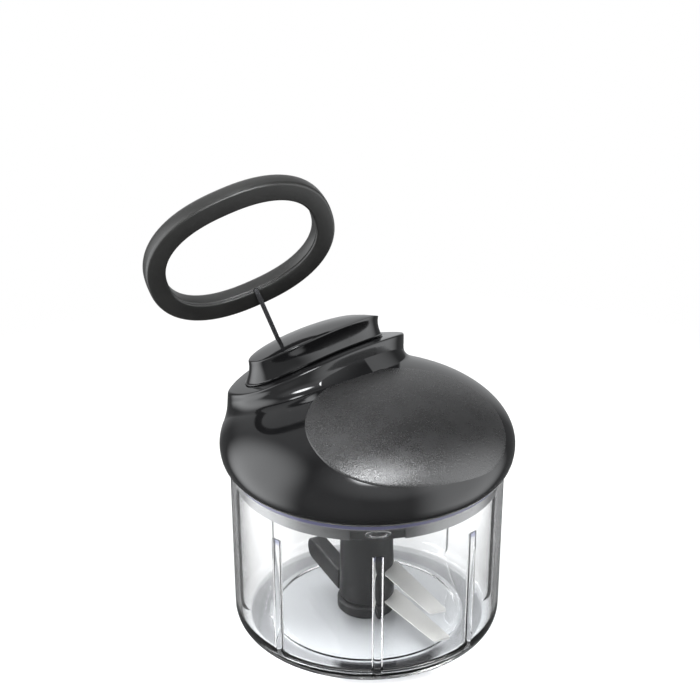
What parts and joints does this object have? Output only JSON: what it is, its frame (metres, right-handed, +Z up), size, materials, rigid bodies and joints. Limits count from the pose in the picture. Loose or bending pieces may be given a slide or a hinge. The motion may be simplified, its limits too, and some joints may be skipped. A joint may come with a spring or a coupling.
{
  "type": "pull-cord food chopper",
  "caption": "Clear round bowl with a domed lid that spins a set of blades when the ring handle on its cord is pulled.",
  "frame": {"origin": "middle of the bowl's flat underside", "axes": "+Z up along the axis of the bowl and blades, -Y towards the viewer of the picture, +X to the picture's right; the lid's raised shoulder lies at the back left"},
  "size_m": [0.1883, 0.15, 0.2309],
  "materials": {
    "clear_plastic": "clear, polished",
    "gloss_black": "high gloss black",
    "soft_grip": "soft matte charcoal",
    "black_plastic": "satin black",
    "steel": "bright ground steel",
    "white_nylon": "natural nylon",
    "seal_rubber": "matte black rubber",
    "cord": "tight black braid"
  },
  "bodies": {
    "bowl": {"bowl": "clear_plastic", "pivot_pin": "steel"},
    "lid": {"lid_housing": "gloss_black", "hand_pad": "soft_grip", "handle_dock_cap": "gloss_black", "lid_base": "black_plastic", "lid_seal": "seal_rubber", "base_screw_1": "steel", "base_screw_2": "steel", "base_screw_3": "steel", "base_screw_4": "steel", "cap_screw_1": "steel", "cap_screw_2": "steel", "reel_axle": "steel", "spring_cover": "black_plastic", "recoil_spring": "steel", "spindle_bush": "white_nylon", "cord_eyelet": "black_plastic", "cord_inner_run": "cord"},
    "reel": {"cord_reel": "white_nylon", "cord_coil": "cord"},
    "drive": {"drive_spindle": "black_plastic", "clutch_pawl_1": "steel", "clutch_pawl_2": "steel"},
    "blade_carrier": {"pivot_bush": "white_nylon"},
    "blades": {"blade_column": "black_plastic", "column_collar": "black_plastic", "lower_blade": "steel", "upper_blade": "steel", "stirring_wing": "black_plastic"},
    "cord": {"pull_cord": "cord"},
    "ring": {"pull_ring": "soft_grip", "cord_knot": "cord"}
  },
  "joints": [
    {"name": "lid_lift", "type": "slide", "parent": "bowl", "child": "lid", "axis": [0, 0, 1], "range_m": [0, 0.12]},
    {"name": "blade_lift", "type": "slide", "parent": "bowl", "child": "blade_carrier", "axis": [0, 0, 1], "range_m": [0, 0.06]},
    {"name": "pull", "type": "slide", "parent": "lid", "child": "cord", "axis": [-0.3005, -0.2405, 0.923], "range_m": [-0.0268, 0.2], "stiffness_N_per_m": 25, "springref_m": -0.15, "deforming": ["pull_cord"]},
    {"name": "ring_fold", "type": "hinge", "parent": "cord", "child": "ring", "pos_m": [-0.05984, 0.0503, 0.15945], "axis": [0.6598, 0.5849, 0.4718], "range_deg": [-15, 65.4]},
    {"name": "reel_spin", "type": "hinge", "parent": "lid", "child": "reel", "pos_m": [0, 0, 0.11], "axis": [0, 0, 1], "range_deg": [-590, 90]},
    {"name": "drive_spin", "type": "hinge", "parent": "lid", "child": "drive", "pos_m": [0, 0, 0.09], "axis": [0, 0, 1], "range_deg": [-590, 90]},
    {"name": "blade_spin", "type": "hinge", "parent": "blade_carrier", "child": "blades", "pos_m": [0, 0, 0.04], "axis": [0, 0, 1], "range_deg": [-590, 90]}
  ],
  "couplings": [
    {"joint": "blade_lift", "follows": "lid_lift", "ratio": 0.5},
    {"joint": "reel_spin", "follows": "pull", "rad_per_m": -51.02},
    {"joint": "drive_spin", "follows": "pull", "rad_per_m": -51.02},
    {"joint": "blade_spin", "follows": "pull", "rad_per_m": -51.02}
  ]
}
